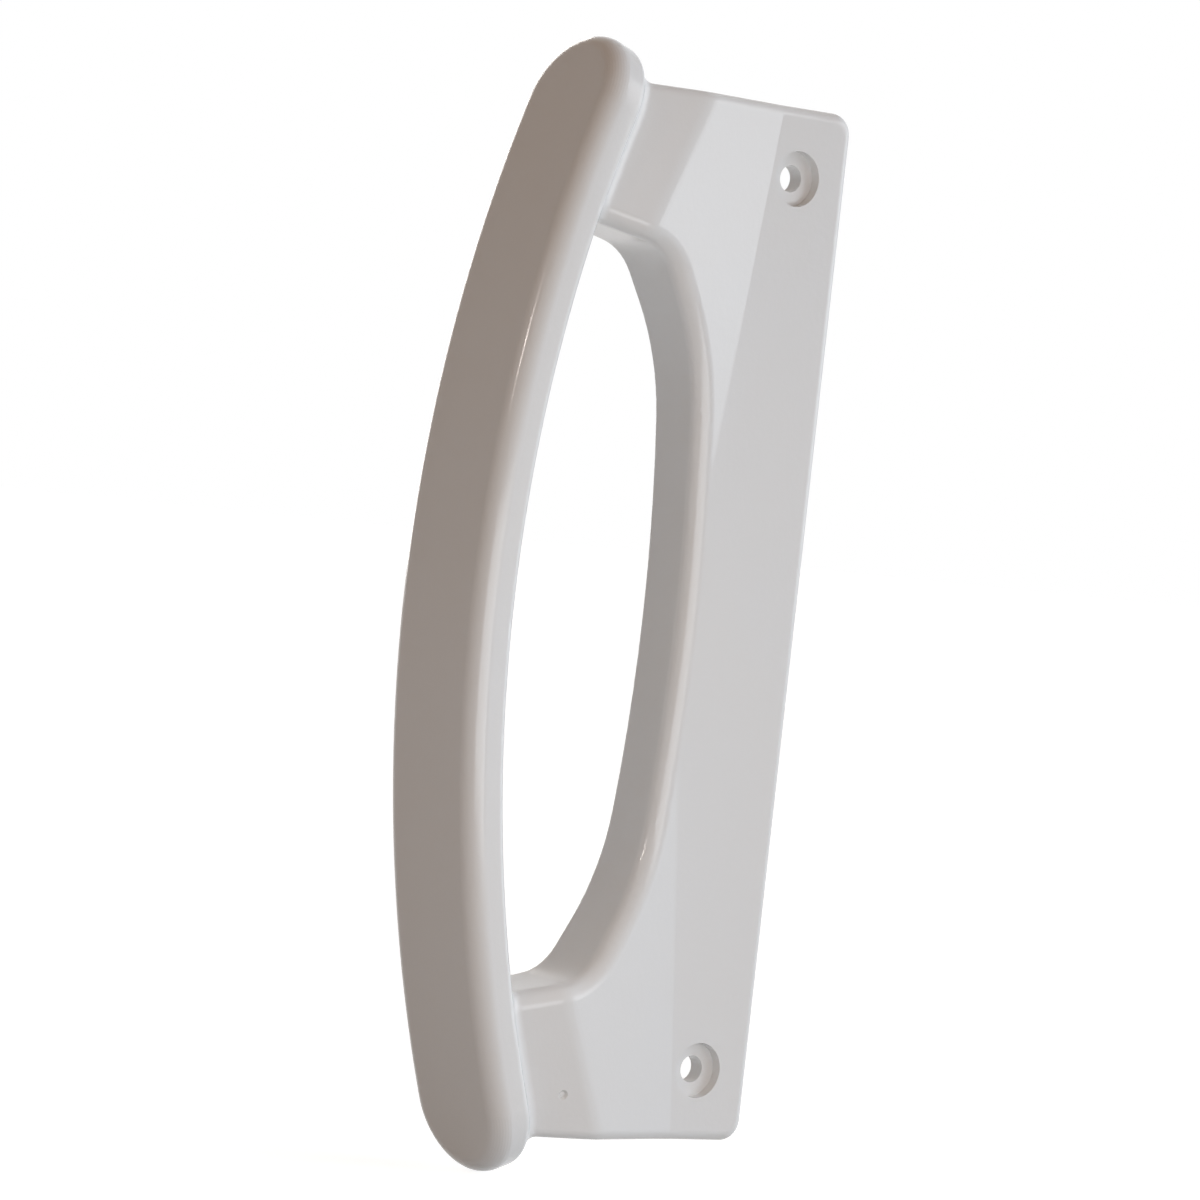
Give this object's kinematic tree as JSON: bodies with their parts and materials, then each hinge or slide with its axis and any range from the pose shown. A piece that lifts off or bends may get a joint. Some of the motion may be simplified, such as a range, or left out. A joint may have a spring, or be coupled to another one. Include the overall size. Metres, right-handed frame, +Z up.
{
  "type": "refrigerator door handle",
  "caption": "Bowed grip bar on short necks, moulded in one with a narrow plate that is screwed to the side of a refrigerator door; a lip seats on the door's front and bounds the finger opening.",
  "frame": {"origin": "midway between the two screw holes, on the face of the plate that meets the side of the door", "axes": "+X out of the screw recesses, away from the side of the door; -Y towards the user, where the grip bar is; +Z up along the handle"},
  "size_m": [0.0238, 0.0663, 0.1814],
  "materials": {
    "white_plastic": "semi-gloss, moulded"
  },
  "bodies": {
    "root": {"door_handle": "white_plastic"}
  },
  "joints": []
}
